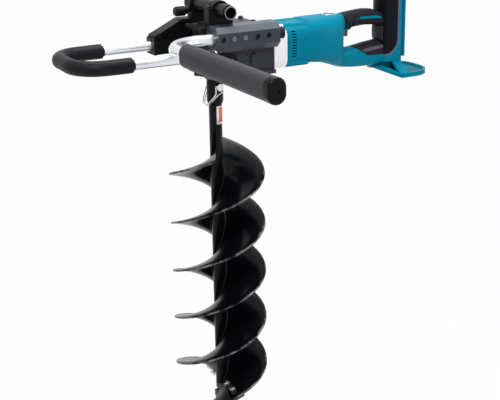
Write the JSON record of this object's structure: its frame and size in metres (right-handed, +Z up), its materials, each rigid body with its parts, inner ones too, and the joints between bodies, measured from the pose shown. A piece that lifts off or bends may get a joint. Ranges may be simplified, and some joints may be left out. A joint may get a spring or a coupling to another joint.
{
  "type": "earth auger",
  "caption": "Hand-held battery earth auger with a helical double-flight bit on a pinned drive socket, a right-angle gear head, a rear D-handle, a front loop handle and a side grip.",
  "frame": {"origin": "tip of the pilot point on the bit's turning axis", "axes": "+Z up along the bit axis to the power head, +X to the rear D-handle, -Y to the side grip"},
  "size_m": [0.8312, 0.606, 0.938],
  "materials": {
    "teal_housing": "moulded, satin",
    "black_soft": "soft overmould, matt",
    "black_foam": "closed-cell foam, matt",
    "black_cast": "cast aluminium, satin black coat",
    "black_plastic": "moulded, matt",
    "grey_grip": "moulded, satin",
    "grey_plastic": "moulded, satin",
    "bare_aluminium": "brushed, clear coated",
    "bit_steel": "gloss black baked coat",
    "cutter_steel": "hardened, bare edges",
    "gear_steel": "ground",
    "zinc_steel": "zinc plated",
    "motor_iron": "laminated core",
    "contact_brass": "tinned contacts",
    "board_green": "potted board"
  },
  "bodies": {
    "power_head": {"spindle_bearings": "gear_steel", "oil_seal": "black_soft", "lay_bearings": "gear_steel", "idler_bearings": "gear_steel", "stator": "motor_iron", "motor_bearings": "gear_steel", "gear_housing": "black_cast", "gear_cover": "black_cast", "cover_screws": "zinc_steel", "neck_case": "bare_aluminium", "long_bolts": "zinc_steel", "pipe_sleeve": "black_cast", "side_pipe": "bare_aluminium", "side_grip": "grey_grip", "grip_cap": "black_plastic", "pipe_plug": "black_soft", "sleeve_screws": "zinc_steel", "bracket_far": "black_cast", "bracket_near": "black_cast", "bracket_screws": "zinc_steel", "cross_tube": "bare_aluminium", "cross_sleeve": "black_soft", "tube_straps": "black_cast", "strap_screws": "zinc_steel", "case_near": "teal_housing", "case_far": "teal_housing", "soft_near": "black_soft", "soft_far": "black_soft", "case_screws": "zinc_steel", "battery_base": "black_plastic", "back_plate": "teal_housing", "foot_guard": "teal_housing", "terminals": "contact_brass", "switch_body": "black_plastic", "controller": "board_green"},
    "bit": {"bit_shaft": "bit_steel", "flight_a": "bit_steel", "flight_b": "bit_steel", "cutter_blades": "cutter_steel", "blade_bolts": "zinc_steel", "pilot_point": "cutter_steel", "lock_pin": "zinc_steel", "spindle": "gear_steel", "dust_collar": "black_soft", "ring_gear": "gear_steel"},
    "bail": {"bail_wire": "zinc_steel"},
    "lay": {"bevel_shaft": "gear_steel", "lay_gear": "gear_steel"},
    "idler": {"idler_shaft": "gear_steel", "idler_gear": "gear_steel"},
    "rotor": {"rotor_shaft": "gear_steel", "rotor_core": "motor_iron", "cooling_fan": "black_plastic"},
    "loop": {"loop_tube": "bare_aluminium", "loop_foam": "black_foam"},
    "knob": {"clamp_knob": "black_plastic"},
    "trigger": {"trigger": "grey_plastic"},
    "reverser": {"reverse_lever": "black_plastic"},
    "lock": {"lock_button": "black_plastic"},
    "speed": {"speed_lever": "grey_plastic"}
  },
  "joints": [
    {"name": "bit_spin", "type": "hinge", "parent": "power_head", "child": "bit", "pos_m": [0, 0, 0.75], "axis": [0, 0, 1], "continuous": true},
    {"name": "bail_swing", "type": "hinge", "parent": "bit", "child": "bail", "pos_m": [0, -0.0237, 0.727], "axis": [-0.866, 0, 0.5], "range_deg": [0, 75]},
    {"name": "lay_spin", "type": "hinge", "parent": "power_head", "child": "lay", "pos_m": [0.06, 0, 0.81], "axis": [1, 0, 0], "continuous": true},
    {"name": "idler_spin", "type": "hinge", "parent": "power_head", "child": "idler", "pos_m": [0.115, 0.02397, 0.79929], "axis": [1, 0, 0], "continuous": true},
    {"name": "rotor_spin", "type": "hinge", "parent": "power_head", "child": "rotor", "pos_m": [0.18, 0, 0.798], "axis": [1, 0, 0], "continuous": true},
    {"name": "loop_slide", "type": "slide", "parent": "power_head", "child": "loop", "axis": [-1, 0, 0], "range_m": [0, 0.04]},
    {"name": "knob_turn", "type": "hinge", "parent": "power_head", "child": "knob", "pos_m": [-0.036, 0.078, 0.87], "axis": [-1, 0, 0], "range_deg": [0, 180]},
    {"name": "trigger_pull", "type": "slide", "parent": "power_head", "child": "trigger", "axis": [0, 0, 1], "range_m": [0, 0.006], "stiffness_N_per_m": 600, "springref_m": -0.004},
    {"name": "reverse_shift", "type": "slide", "parent": "power_head", "child": "reverser", "axis": [0, 1, 0], "range_m": [-0.004, 0.004]},
    {"name": "lock_press", "type": "slide", "parent": "power_head", "child": "lock", "axis": [0, 1, 0], "range_m": [0, 0.003], "stiffness_N_per_m": 400, "springref_m": -0.002},
    {"name": "speed_shift", "type": "slide", "parent": "power_head", "child": "speed", "axis": [1, 0, 0], "range_m": [0, 0.01]}
  ],
  "couplings": [
    {"joint": "lay_spin", "follows": "bit_spin", "ratio": 3},
    {"joint": "idler_spin", "follows": "bit_spin", "ratio": -6},
    {"joint": "rotor_spin", "follows": "bit_spin", "ratio": 18}
  ]
}
